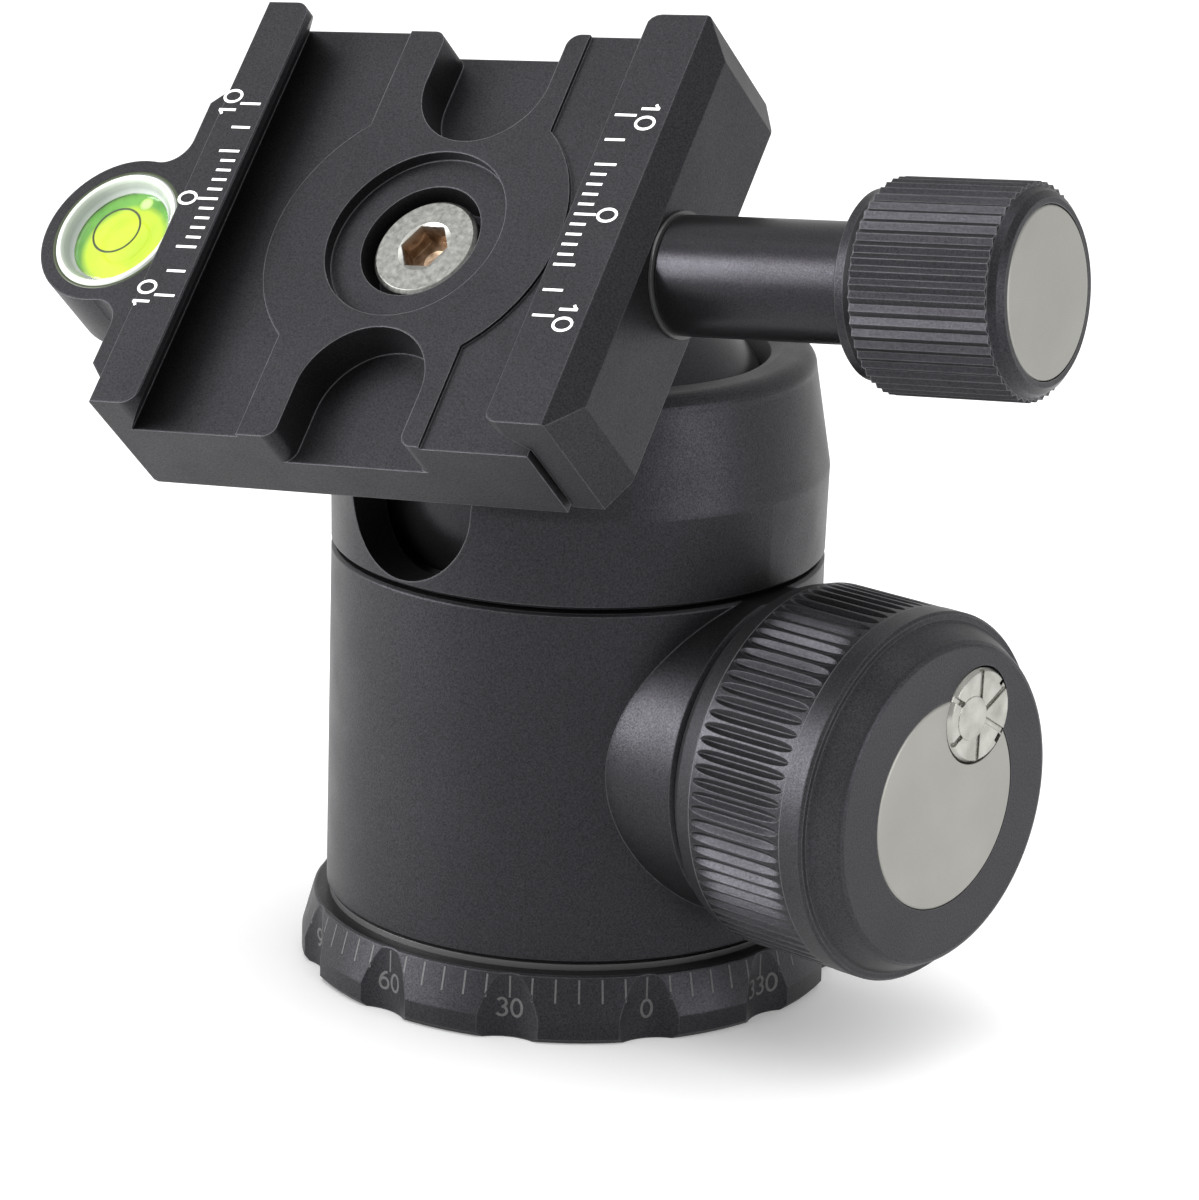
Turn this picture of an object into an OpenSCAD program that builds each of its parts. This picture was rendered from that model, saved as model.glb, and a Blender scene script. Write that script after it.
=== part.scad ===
// Tripod ball head with a notched collar, a fluted main knob with a tension dial, a panning
// base and a quick-release clamp with a round spirit level.
// Millimetres, +Z up. The origin is the centre of the base's lower face, on the tripod
// screw's axis. +X runs along the main knob's axis, outwards. The ball leans as it rests.

/* [Pose] */
// Turn of the stem's lean about +Z, from the -Y direction
lean_turn = 3.7; // [-20:0.1:20]
// Lean of the stem from upright
lean = 44.3; // [0:0.1:44.5]
// Turn of the clamp about the stem
clamp_turn = 8.5; // [-180:0.1:180]

/* [Base] */
// Radius of the base ring at its foot
base_r = 23.9; // [23.6:0.1:24.4]
// Radius of the base ring at its upper edge
base_top_r = 22.9; // [22.4:0.1:23.2]
// Height of the base ring
base_h = 5.9; // [5.6:0.1:6]
// Height of the upright band below the ring's sloping scale
base_band_h = 2.1; // [1.5:0.1:3]
// Number of grip scallops around the ring
scallops = 12; // [8:1:18]
// Turn of the ring, measured to its zero scallop
scale_turn = -31.2; // [-180:0.1:180]
// Radius of the cutter that forms a scallop
scallop_r = 4.35; // [3:0.05:6]
// Depth of a scallop at the ring's foot
scallop_depth = 1.1; // [0.5:0.1:1.6]
// Radius of the tripod screw socket's wall, 3/8 inch with 16 threads
socket_r = 4; // [3.9:0.05:4.2]
// Depth of the tripod screw socket
socket_depth = 10; // [8:0.5:11]

/* [Body] */
// Radius of the body
body_r = 21.75; // [21.5:0.05:22]
// Height of the body's lower edge
body_z = 6.54; // [6.52:0.01:6.7]
// Height of the body's upper edge, at the collar's seam
body_top = 38; // [37.8:0.05:38.1]
// Radius of the round boss that carries the main knob
boss_r = 14.4; // [13.5:0.1:14.6]
// Reach of the boss from the body's axis
boss_x = 23.7; // [23.5:0.05:23.8]

/* [Collar] */
// Height of the edge where the collar starts to narrow
collar_edge_z = 46.2; // [45:0.1:48]
// Radius of the collar at that edge
collar_edge_r = 21.9; // [21.8:0.05:22.1]
// Radius of the collar where its lip starts to round over
lip_r = 20.45; // [20.2:0.05:20.8]
// Height of the collar's top
collar_top = 56.5; // [56.3:0.05:56.7]
// Radius of the mouth around the ball
mouth_r = 16.4; // [16.3:0.05:16.8]
// Turn of the drop notch from +X
notch_turn = -93.2; // [-100:0.1:-80]
// Width of the drop notch
notch_w = 14.6; // [12:0.1:15]
// Height of the centre of the notch's round floor
notch_z = 46.15; // [46.1:0.05:47]

/* [Ball and stem] */
// Radius of the ball
ball_r = 17.8; // [17.7:0.05:17.82]
// Height of the ball's centre
ball_z = 45.7; // [45.65:0.05:45.75]
// Radius of the stem's waist
waist_r = 4.1; // [3.8:0.05:4.15]
// Radius of the stem's upper flange
flange_r = 9.5; // [8.5:0.1:9.6]

/* [Main knob] */
// Height of the main knob's axis
knob_z = 23.9; // [23.8:0.05:24]
// Radius of the main knob's grip
knob_r = 16; // [15.8:0.05:16.1]
// Distance from the body's axis to the knob's rear face
knob_x = 23.95; // [23.9:0.05:24.1]
// Distance to the start of the flutes
flute_x = 26.9; // [26.7:0.1:27.2]
// Distance to the end of the flutes
flute_end = 36.7; // [36.4:0.1:37]
// Distance to the end of the plain band
knob_band_end = 39; // [38.9:0.05:39.2]
// Distance to the knob's flat front face
knob_face = 41.65; // [41.6:0.05:41.9]
// Radius of the flat front face
knob_face_r = 13.75; // [13.6:0.05:14]
// Width of the step in front of the plain band
shoulder_w = 0.8; // [0.4:0.1:1.2]
// Number of flutes around the grip
flutes = 84; // [60:1:90]
// Depth of a flute at its middle
flute_depth = 0.4; // [0.3:0.05:0.6]
// Width of a flute at its middle
flute_w = 1.0; // [0.8:0.05:1.25]
// Radius of the disc in the knob's face
knob_disc_r = 9.1; // [9:0.05:9.3]
// Radius of the tension dial
dial_r = 4.17; // [4:0.01:4.2]
// Dial centre, to the side of the knob's axis
dial_y = 3.9; // [3.7:0.1:4.1]
// Dial centre, above the knob's axis
dial_z = 7.05; // [6.9:0.05:7.2]
// Number of grip grooves in the dial's face
dial_grooves = 6; // [4:1:8]

/* [Pan lock] */
// Height of the pan lock's axis
lock_z = 12; // [12:0.1:12.5]
// Radius of the pan lock knob
lock_r = 5.8; // [5:0.1:5.9]
// Reach of the pan lock knob from the body's axis
lock_y = 32.5; // [31:0.1:34]
// Number of ribs on the pan lock knob
lock_ribs = 32; // [24:1:40]

/* [Clamp] */
// Distance from the ball's centre to the top of the jaws
clamp_d = 37.5; // [37.4:0.05:38]
// Thickness of the clamp
clamp_t = 12.1; // [12:0.05:12.2]
// Length of the clamp's base
clamp_l = 41.8; // [41:0.1:42]
// Outer side of the fixed jaw, from the stem's axis
fixed_side = 21.95; // [21.8:0.05:22.2]
// Inner edge of the fixed jaw's lip
fixed_lip = 17.35; // [17.2:0.05:17.5]
// Side of the clamp base that faces the sliding jaw
base_side = 19.25; // [19.1:0.05:19.3]
// Depth of the channel's floor below the lips
floor_d = 4.05; // [4:0.05:4.1]
// Height of the raised seat above the floor
seat_h = 0.35; // [0.2:0.05:0.5]
// Half width of the raised seat's straight sides
seat_w = 9; // [8.5:0.1:10]
// Radius of the raised seat's round middle
seat_r = 14.1; // [13:0.1:15]
// Sideways place of the two round cut-outs
cut_x = 0.85; // [0:0.05:1]
// Radius of a cut-out's round end
cut_r = 6.15; // [5.5:0.05:6.2]
// Distance of a cut-out's centre from the stem's axis
cut_y = 15.65; // [15.6:0.05:16]
// Depth of a cut-out below the lips
cut_d = 7.55; // [7:0.05:7.7]

/* [Sliding jaw] */
// Gap between the clamp base and the sliding jaw
jaw_gap = 0.3; // [0.28:0.01:0.4]
// Inner edge of the sliding jaw's lip
jaw_lip = 16.75; // [16.6:0.05:16.9]
// Outer side of the sliding jaw
jaw_side = 24.3; // [24.2:0.05:24.6]
// Length of the sliding jaw
jaw_l = 40.7; // [40:0.1:41]
// Width of the bevel along the jaw's outer top edge
jaw_bevel = 2; // [1:0.1:2.5]

/* [Clamp knob] */
// Place of the clamp knob's axis along the jaw
axis_y = -0.5; // [-1:0.1:1]
// Depth of the clamp knob's axis below the lips
axis_d = 7.36; // [7.3:0.02:7.5]
// Radius of the knob's neck
neck_r = 4.95; // [4.5:0.05:5]
// Distance from the stem's axis to the knob's rear flange
grip_x = 42.64; // [42:0.05:43]
// Distance to the knob's front face
grip_end = 57.65; // [57:0.05:58.5]
// Radius of the knurled grip
grip_r = 8.7; // [8.4:0.05:8.9]
// Number of ribs on the grip
grip_ribs = 52; // [40:1:60]
// Depth of a rib
rib_depth = 0.35; // [0.2:0.05:0.45]
// Radius of the disc in the knob's face
grip_disc_r = 6.9; // [6.5:0.05:7]

/* [Spirit level] */
// Distance of the level's centre from the stem's axis
level_x = 30.95; // [30.8:0.05:31.2]
// Place of the level's centre along the clamp
level_y = -0.6; // [-1:0.1:0]
// Depth of the ear's top below the lips
ear_d = 4.4; // [4.2:0.05:4.6]
// Radius of the ear around the level
ear_r = 7.38; // [7.3:0.02:7.5]
// Radius of the level's bezel
bezel_r = 5.9; // [5.8:0.02:5.95]
// Radius of the level's liquid
liquid_r = 4.6; // [4.4:0.05:4.8]

/* [Hidden] */

$fn = 96;
eps = 0.01;                 // overlap that keeps cuts clean
run = 0.05;                 // radial clearance of a running fit

black = "#2a2a2c";
dark = "#202022";
steel = "#c9c5bd";
grey = "#a5a397";
brass = "#b59a55";
white = "#f2f3ee";

spindle_r = 11;             // pivot of the base inside the body
spindle_top = 15.05;
plate_r = 14;               // plate that holds the body down on the base
plate_t = 2;
plate_screw_ring = 7;
cavity_r = 17;              // bore of the body for the ball cup
collar_gap = 0.4;           // visible seam between body and collar
spigot_r = 19.5;            // part of the collar that enters the body
spigot_in = 18.3;           // inner radius of the collar's spigot
spigot_z = 34;
seat_z0 = 47.5;             // the collar's spherical seat
seat_z1 = 54.35;
seat_ball_r = ball_r + run;
cup_z = 19;                 // piston under the ball
cup_top = 35.5;
cup_hole_r = 9.5;
seat_ring_top = 38.5;
liner_t = 0.8;
wedge_slope = 30;           // slope of the face that lifts the cup
wedge_x = 13;
wedge_r = 4.5;
wedge_tip = 8;
wedge_end = 19.2;
shaft_thread_r = 2.5;
shaft_flange_x = 20;
shaft_r = 3.5;
bush_r = 7;
bush_x = 21.05;
shaft_slot = 5.6;           // slot of the cup around the shaft
dial_gap = 0.12;            // gap around the tension dial
pad_r = 1.9;                // smooth pad on the dial, off its centre
pad_shift = 1.05;
key_r = 1.5;                // pin that keeps the cup from turning
flat_d = 17;                // flat of the ball under the stem
stud_r = 3;
screw_r = 2.95;
stem_seat = 1;              // depth of the stem's flange in the clamp base
head_top = 5.6;             // plate screw's head, below the lips
head_t = 3;
head_r = 4.75;
recess_r = 8.35;            // round recess around the plate screw
recess_d = 4.85;
counterbore_r = 5.55;
lip_h = 0.75;               // upright part of each lip
undercut = 2.45;            // how far each dovetail runs under its lip
bolt_r = 2.5;
pin_y = 12.5;
pin_d = 8.6;
pin_r = 1.45;
spring_y = 6.8;
spring_r = 1.5;
lens_z = -0.85;             // top of the level's lens, below the ear
ear_bottom = 11.4;
ear_block_x = 27.1;         // straight side of the ear's root
ear_block_w = 16;           // half length of the ear's root
ear_fillet = 2.5;

// ---------------------------------------------------------------- frames and helpers

// Frame of the stem: origin at the ball's centre, +Z along the stem
module stem_frame() {
    translate([0, 0, ball_z])
        rotate([0, 0, lean_turn])
            rotate([lean, 0, 0])
                children();
}

// Frame of the clamp: origin at the top of the lips over the stem's axis
module clamp_frame() {
    stem_frame()
        rotate([0, 0, clamp_turn])
            translate([0, 0, clamp_d])
                children();
}

// Local +Z runs along the main knob's axis, from the body's axis; local -X is up
module knob_frame() {
    translate([0, 0, knob_z])
        rotate([0, 90, 0])
            children();
}

// Local +Z runs along the clamp knob's axis; local -X is away from the plate
module clamp_knob_frame() {
    clamp_frame()
        translate([0, axis_y, -axis_d])
            rotate([0, 90, 0])
                children();
}

// Local +Z runs along the pan lock's axis, towards +Y
module lock_frame() {
    translate([0, 0, lock_z])
        rotate([-90, 0, 0])
            children();
}

// Cylinder along local +Z between two heights
module rod(r, z0, z1) {
    translate([0, 0, z0])
        cylinder(r = r, h = z1 - z0);
}

module ring(r_out, r_in, z0, z1) {
    difference() {
        rod(r_out, z0, z1);
        rod(r_in, z0 - eps, z1 + eps);
    }
}

// Points of an arc about (cx, cy), from angle a0 to a1
function arc(cx, cy, r, a0, a1, steps = 6) =
    [for (i = [0 : steps]) let (a = a0 + (a1 - a0) * i / steps) [cx + r * cos(a), cy + r * sin(a)]];

// Outline of a wheel with pointed ribs, tips at r and valleys depth lower
function ribbed(r, depth, count) =
    [for (i = [0 : 2 * count - 1])
        let (a = i * 180 / count, q = (i % 2 == 0) ? r : r - depth) [q * cos(a), q * sin(a)]];

// ---------------------------------------------------------------- base

// Ring section with the pivot: foot chamfer, upright band, sloping scale, pivot
function base_section() = [
    [0, 0], [base_r - 0.4, 0], [base_r, 0.4], [base_r, base_band_h],
    [base_top_r, base_h - 0.15], [base_top_r - 0.2, base_h],
    [spindle_r, base_h], [spindle_r, lock_z - 1.2], [spindle_r - 0.5, lock_z - 0.6],
    [spindle_r - 0.5, lock_z + 0.6], [spindle_r, lock_z + 1.2], [spindle_r, spindle_top],
    [0, spindle_top]
];

module pan_base() {
    color(black)
        difference() {
            rotate_extrude()
                polygon(base_section());
            rod(socket_r, -eps, socket_depth);
            for (k = [0 : scallops - 1])
                rotate([0, 0, scale_turn + k * 360 / scallops])
                    translate([base_r - scallop_depth + scallop_r, 0, 0])
                        rod(scallop_r, -eps, base_h + 1);
            retaining_holes(1.3, spindle_top - 4.5, spindle_top + eps);
        }
}

module retaining_holes(r, z0, z1) {
    for (a = [90, 210, 330])
        rotate([0, 0, a])
            translate([plate_screw_ring, 0, 0])
                rod(r, z0, z1);
}

// Slip ring on which the body turns; its edge shows as a fine glint in the gap
module pan_washer() {
    color(dark)
        ring(body_r - 0.25, spindle_r + 0.3, base_h, body_z - 0.08);
}

module retaining_plate() {
    color(steel)
        difference() {
            rod(plate_r, spindle_top, spindle_top + plate_t);
            retaining_holes(1.6, spindle_top - eps, spindle_top + plate_t + eps);
            for (a = [90, 210, 330])
                rotate([0, 0, a])
                    translate([plate_screw_ring, 0, spindle_top + plate_t - 1.4])
                        cylinder(r1 = 1.6, r2 = 3, h = 1.4 + eps);
        }
}

module retaining_screws() {
    color(steel)
        for (a = [90, 210, 330])
            rotate([0, 0, a])
                translate([plate_screw_ring, 0, spindle_top])
                    rotate_extrude()
                        polygon([[0, -4], [1.2, -4], [1.2, plate_t - 1.5], [2.7, plate_t - 0.1],
                                 [1, plate_t - 0.1], [0.8, plate_t - 1.1], [0, plate_t - 1.1]]);
}

// ---------------------------------------------------------------- body

module body_shell() {
    rotate_extrude()
        polygon([[0, body_z], [body_r - 0.35, body_z], [body_r, body_z + 0.35],
                 [body_r, body_top - 0.25], [body_r - 0.25, body_top], [0, body_top]]);
}

module housing() {
    color(black)
        difference() {
            union() {
                body_shell();
                knob_frame() rotate_extrude()
                    polygon([[0, 0], [boss_r, 0], [boss_r, boss_x - 0.3],
                             [boss_r - 0.3, boss_x], [0, boss_x]]);
            }
            rod(spindle_r + run, body_z - eps, spindle_top);
            rod(knob_x, body_top, body_top + 1);
            rod(cavity_r, spindle_top - 0.05, body_top + eps);
            rod(spigot_r + run, spigot_z, body_top + eps);
            knob_frame() {
                rod(wedge_r + run, cavity_r - 3, shaft_flange_x);
                rod(5.1, shaft_flange_x - 0.1, bush_x + eps);
                rod(bush_r, bush_x, boss_x + eps);
            }
            lock_frame() rod(bolt_r + run, spindle_r - 1, body_r + 1);
            lock_frame() rod(4.2, body_r - 0.6, body_r + 1);
            translate([0, 0, knob_z]) rotate([0, -90, 0]) rod(key_r, cavity_r - 1, body_r - 1);
        }
}

module cup_guide_pin() {
    color(steel)
        translate([0, 0, knob_z])
            rotate([0, -90, 0])
                rod(key_r, cavity_r - 2.2, body_r - 1);
}

// Section of the collar: spigot, wall, tapering mouth wall and rounded lip
function collar_section() = concat(
    [[spigot_in, spigot_z + 0.1], [spigot_r, spigot_z + 0.1], [spigot_r, body_top + collar_gap],
     [body_r - 0.25, body_top + collar_gap], [body_r, body_top + collar_gap + 0.25],
     [collar_edge_r, collar_edge_z - 0.15], [collar_edge_r - 0.03, collar_edge_z + 0.15],
     [lip_r, collar_top - 1.65]],
    arc(lip_r - 1.6, collar_top - 1.6, 1.6, 0, 90, 8),
    [[mouth_r + 0.9, collar_top], [mouth_r, collar_top - 0.4], [15.6, seat_z1],
     [15.6, seat_z0], [spigot_in, seat_z0]]
);

module top_collar() {
    color(black)
        difference() {
            rotate_extrude()
                polygon(collar_section());
            translate([0, 0, ball_z]) sphere(r = seat_ball_r, $fn = 128);
            rotate([0, 0, notch_turn]) {
                translate([0, 0, notch_z]) rotate([0, 90, 0]) rod(notch_w / 2, 8, body_r + 2);
                translate([8, -notch_w / 2, notch_z]) cube([body_r - 6, notch_w, 20]);
            }
        }
}

module knob_bush() {
    color(brass)
        knob_frame() ring(bush_r, shaft_r + run, bush_x, boss_x - 0.05);
}

// ---------------------------------------------------------------- ball cup and its wedge

// Everything below the sloping face, shifted up by lift, as wide as w
module below_slope(w, lift) {
    translate([wedge_x, -w / 2, knob_z + lift])
        rotate([0, -wedge_slope, 0])
            translate([-30, 0, -40])
                cube([60, w, 40]);
}

module ball_cup() {
    color(steel)
        difference() {
            ring(cavity_r - run, cup_hole_r, cup_z, cup_top);
            translate([0, 0, ball_z]) sphere(r = seat_ball_r + liner_t, $fn = 128);
            intersection() {
                below_slope(2 * wedge_r + 0.6, 0.04);
                translate([cup_hole_r - 3, -wedge_r - 1, cup_z - 1]) cube([14, 2 * wedge_r + 2, 14]);
            }
            translate([cup_hole_r - 3, -shaft_slot / 2, cup_z - 1])
                cube([14, shaft_slot, knob_z + shaft_slot / 2 + 0.4 - cup_z + 1]);
            translate([-cavity_r - 1, -key_r - run, cup_z - 1])
                cube([3.4, 2 * (key_r + run), knob_z + 6 - cup_z]);
        }
}

// Thin seat of slippery plastic between the cup and the ball
module cup_liner() {
    color(white)
        difference() {
            intersection() {
                translate([0, 0, ball_z]) sphere(r = seat_ball_r + liner_t, $fn = 128);
                ring(cavity_r - 2, cup_hole_r + 1, cup_z, cup_top - 0.2);
            }
            translate([0, 0, ball_z]) sphere(r = seat_ball_r, $fn = 128);
        }
}

// Pusher with a sloping nose: the shaft's thread draws it in under the cup
module lock_pusher() {
    color(steel)
        difference() {
            intersection() {
                knob_frame() rod(wedge_r, wedge_tip, wedge_end);
                below_slope(3 * wedge_r, 0);
            }
            knob_frame() rod(shaft_thread_r + run, wedge_tip - 1, wedge_end + 1);
        }
}

// ---------------------------------------------------------------- main knob

module main_shaft() {
    color(steel)
        knob_frame() {
            rod(shaft_thread_r, wedge_tip + 1.6, shaft_flange_x + eps);
            rod(5, shaft_flange_x, bush_x - run);
            rod(shaft_r, bush_x - 0.5, knob_face - 4);
        }
}

// Section of the knob, as radius and distance from the body's axis
function knob_section() = concat(
    [[0, knob_x], [boss_r - 0.1, knob_x], [boss_r + 0.1, knob_x + 0.2]],
    [[knob_r - 0.5, knob_x + 1.25], [knob_r, flute_x], [knob_r - 1.1, flute_x],
     [knob_r - 1.1, flute_end], [knob_r + 0.04, flute_end],
     [knob_r + 0.04, knob_band_end - 0.3], [knob_r - 0.2, knob_band_end],
     [knob_r - shoulder_w + 0.15, knob_band_end], [knob_r - shoulder_w, knob_band_end + 0.15],
     [knob_face_r + 0.35, knob_face - 0.4], [knob_face_r + 0.1, knob_face - 0.12],
     [knob_face_r - 0.2, knob_face], [0, knob_face]]
);

module dial_place() {
    translate([-dial_z, dial_y, 0])
        children();
}

module main_knob() {
    color(black)
        knob_frame()
            difference() {
                rotate_extrude()
                    polygon(knob_section());
                rod(shaft_r + run, knob_x - 1, knob_face - 3.9);
                rod(knob_disc_r + 0.08, knob_face - 0.8, knob_face + 1);
                dial_place() rod(dial_r + dial_gap, knob_face - 2.6, knob_face + 1);
                dial_place() rod(1.6, knob_face - 8, knob_face);
            }
}

// Plan of all flutes: one pointed notch each, open outwards
module flute_plan() {
    clear = 0.2;
    for (k = [0 : flutes - 1])
        rotate(k * 360 / flutes)
            polygon([[knob_r - flute_depth, 0],
                     [knob_r + clear, flute_w / 2 * (1 + clear / flute_depth)],
                     [knob_r + clear, -flute_w / 2 * (1 + clear / flute_depth)]]);
}

// Grip band with its flutes, closed by a plain rim at each end
module knob_flute_band() {
    rim = 0.5;
    color(black)
        knob_frame()
            difference() {
                ring(knob_r, knob_r - 1.1, flute_x, flute_end);
                translate([0, 0, flute_x + rim])
                    linear_extrude(height = flute_end - flute_x - 2 * rim)
                        flute_plan();
            }
}

module main_knob_disc() {
    color(grey)
        knob_frame()
            difference() {
                rotate_extrude()
                    polygon([[0, knob_face - 0.8], [knob_disc_r, knob_face - 0.8],
                             [knob_disc_r, knob_face - 0.05], [knob_disc_r - 0.15, knob_face + 0.05],
                             [0, knob_face + 0.05]]);
                dial_place() rod(dial_r + dial_gap, knob_face - 3, knob_face + 1);
            }
}

// Dial with radial grip grooves, two finger notches, a smooth pad and a screw behind it
module tension_dial() {
    top = knob_face + 0.3;
    groove_turn = 58;
    color(steel)
        knob_frame()
            dial_place() {
                difference() {
                    rotate_extrude()
                        polygon([[0, knob_face - 7], [1.5, knob_face - 7], [1.5, knob_face - 2.5],
                                 [dial_r, knob_face - 2.5], [dial_r, top - 0.4],
                                 [dial_r - 0.3, top], [0, top]]);
                    for (k = [0 : dial_grooves - 1])
                        rotate([0, 0, groove_turn + k * 360 / dial_grooves])
                            translate([0, -0.24, top - 0.3])
                                cube([dial_r + 1, 0.48, 1]);
                    for (a = [46, 126])
                        rotate([0, 0, a])
                            translate([dial_r - 0.75, -0.4, top - 1.6])
                                cube([2, 0.8, 2]);
                }
                translate([0, -pad_shift, 0]) rod(pad_r, top - 0.5, top + 0.06);
            }
}

// ---------------------------------------------------------------- pan lock

module pan_lock_shoe() {
    color(brass)
        lock_frame() rod(bolt_r, spindle_r + 0.08, spindle_r + 3);
}

module pan_lock_screw() {
    color(steel)
        lock_frame() rod(bolt_r, spindle_r + 3.6, lock_y - 2.5);
}

module pan_lock_knob() {
    neck_end = base_r + 1.1;
    color(black)
        lock_frame()
            difference() {
                union() {
                    rod(3.9, body_r + 0.1, neck_end + eps);
                    rotate_extrude()
                        polygon([[0, neck_end], [lock_r - 1, neck_end], [lock_r - 0.4, neck_end + 0.6],
                                 [lock_r - 0.4, lock_y - 0.5], [lock_r - 1, lock_y], [0, lock_y]]);
                    translate([0, 0, neck_end + 0.8])
                        linear_extrude(height = lock_y - neck_end - 1.6)
                            polygon(ribbed(lock_r, 0.35, lock_ribs));
                }
                rod(bolt_r + run, body_r, lock_y - 2.4);
            }
}

// ---------------------------------------------------------------- ball and stem

// Slippery ring on the cup's rim; the ball turns against it
module seat_ring() {
    color(white)
        difference() {
            ring(spigot_in - run, 12, cup_top + 0.05, seat_ring_top);
            translate([0, 0, ball_z]) sphere(r = seat_ball_r, $fn = 128);
        }
}

module ball() {
    color(black)
        stem_frame()
            difference() {
                sphere(r = ball_r, $fn = 128);
                rod(8, flat_d, ball_r + 1);
                rod(stud_r + run, 6, ball_r + 1);
            }
}

// Stud, waist and flaring neck with the flange that seats in the clamp
module stem() {
    top = clamp_d - clamp_t + stem_seat;
    color(black)
        stem_frame()
            difference() {
                rotate_extrude()
                    polygon(concat(
                        [[0, 6.5], [stud_r, 6.5], [stud_r, flat_d + run], [waist_r + 0.5, flat_d + run],
                         [waist_r, flat_d + 0.5], [waist_r, 19.9]],
                        arc(waist_r + 4, 19.9, 4, 180, 110, 6),
                        [[flange_r, 24.6], [flange_r, top], [0, top]]));
                rod(screw_r + run, clamp_d - clamp_t - 7, top + eps);
            }
}

// ---------------------------------------------------------------- clamp

// Side view of the clamp base, as place across and height: plate, fixed jaw and its undercut
function base_profile() = [
    [-fixed_side, -clamp_t + 0.3], [-fixed_side + 0.3, -clamp_t], [base_side, -clamp_t],
    [base_side, -floor_d], [-fixed_lip - undercut, -floor_d], [-fixed_lip, -lip_h],
    [-fixed_lip, -0.12], [-fixed_lip - 0.12, 0], [-fixed_side + 0.15, 0], [-fixed_side, -0.15]
];

// Plan of what rounds the fixed lip's two inner corners
module lip_corners() {
    half = clamp_l / 2;
    lip_corner = 1.5;
    for (s = [-1, 1])
        difference() {
            translate([-fixed_lip - lip_corner, s > 0 ? half - lip_corner : -half - 1])
                square([lip_corner + 1, lip_corner + 1]);
            translate([-fixed_lip - lip_corner, s * (half - lip_corner)]) circle(lip_corner);
        }
}

module seat_plan() {
    half = clamp_l / 2;
    intersection() {
        union() {
            translate([-seat_w, -half]) square([2 * seat_w, clamp_l]);
            circle(seat_r);
        }
        translate([-seat_r - 1, -half]) square([seat_r + 1 + base_side, clamp_l]);
    }
}

// Round-ended cut-out with a flared mouth, open to one end of the clamp
module cut_plan() {
    half = clamp_l / 2;
    flare = 1.2;
    translate([cut_x, cut_y]) circle(cut_r);
    translate([cut_x - cut_r, cut_y]) square([2 * cut_r, half - cut_y + 1]);
    for (s = [-1, 1])
        difference() {
            translate([cut_x + s * cut_r - (s > 0 ? 0.1 : flare), half - flare])
                square([flare + 0.1, flare + 1]);
            translate([cut_x + s * (cut_r + flare), half - flare]) circle(flare);
        }
}

// Plan of the ear that holds the level: root, round end and hollow corners between them
module ear_plan() {
    dx = level_x - ear_block_x - ear_fillet;
    dy = sqrt(pow(ear_r + ear_fillet, 2) - dx * dx);
    translate([-level_x, level_y]) circle(ear_r);
    translate([-level_x, level_y - 4]) square([level_x - fixed_side + 0.5, 8]);
    difference() {
        translate([-ear_block_x, level_y - ear_block_w])
            square([ear_block_x - fixed_side + 0.5, 2 * ear_block_w]);
        for (s = [-1, 1])
            translate([-ear_block_x, level_y + s * ear_block_w])
                rotate(45) square(3.2, center = true);
    }
    for (s = [-1, 1])
        difference() {
            translate([-level_x + dx * 0.55, level_y + (s > 0 ? 5 : -dy)])
                square([level_x - ear_block_x - dx * 0.55 + eps, dy - 5]);
            translate([-ear_block_x - ear_fillet, level_y + s * dy]) circle(ear_fillet);
        }
}

module clamp_base() {
    color(black)
        clamp_frame()
            difference() {
                union() {
                    difference() {
                        translate([0, clamp_l / 2, 0]) rotate([90, 0, 0])
                            linear_extrude(height = clamp_l) polygon(base_profile());
                        translate([0, 0, -floor_d]) linear_extrude(height = floor_d + 1) lip_corners();
                    }
                    translate([0, 0, -floor_d - 1])
                        linear_extrude(height = 1 + seat_h) seat_plan();
                    translate([0, 0, -ear_bottom])
                        linear_extrude(height = ear_bottom - ear_d) ear_plan();
                }
                rod(recess_r, -recess_d, 0);
                rod(counterbore_r, -head_top - head_t, 0);
                rod(screw_r + 0.1, -clamp_t - 1, 0);
                rod(flange_r + run, -clamp_t - 1, -clamp_t + stem_seat);
                translate([0, 0, -cut_d]) linear_extrude(height = cut_d) cut_plan();
                mirror([0, 1, 0]) translate([0, 0, -cut_d]) linear_extrude(height = cut_d) cut_plan();
                translate([-level_x, level_y, 0]) rod(bezel_r + run, -9.6, 0);
                jaw_bores(base_side + eps);
            }
}

// Threaded hole for the clamp bolt, and the holes for the guide pins and springs
module jaw_bores(x1) {
    translate([0, axis_y, -axis_d]) rotate([0, 90, 0]) rod(bolt_r + run, 9.5, x1);
    for (s = [-1, 1]) {
        translate([0, s * pin_y, -pin_d]) rotate([0, 90, 0]) rod(pin_r + run, 9.5, x1);
        translate([0, s * spring_y, -pin_d]) rotate([0, 90, 0]) rod(spring_r + run, 12, x1);
    }
}

module plate_screw() {
    color(steel)
        clamp_frame()
            difference() {
                union() {
                    rotate_extrude()
                        polygon([[0, -head_top - head_t], [head_r, -head_top - head_t],
                                 [head_r, -head_top - 0.3], [head_r - 0.3, -head_top], [0, -head_top]]);
                    rod(screw_r, -clamp_t - 6.5, -head_top - 1);
                }
                translate([0, 0, -head_top - 2.2]) cylinder(r = 2.31, h = 3, $fn = 6);
            }
}

// Springs that push the jaw open, closed up in their holes
module jaw_springs() {
    color(steel)
        clamp_frame()
            for (s = [-1, 1])
                translate([0, s * spring_y, -pin_d])
                    rotate([0, 90, 0])
                        ring(spring_r, 0.9, 12.1, base_side + jaw_gap - 0.02);
}

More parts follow.
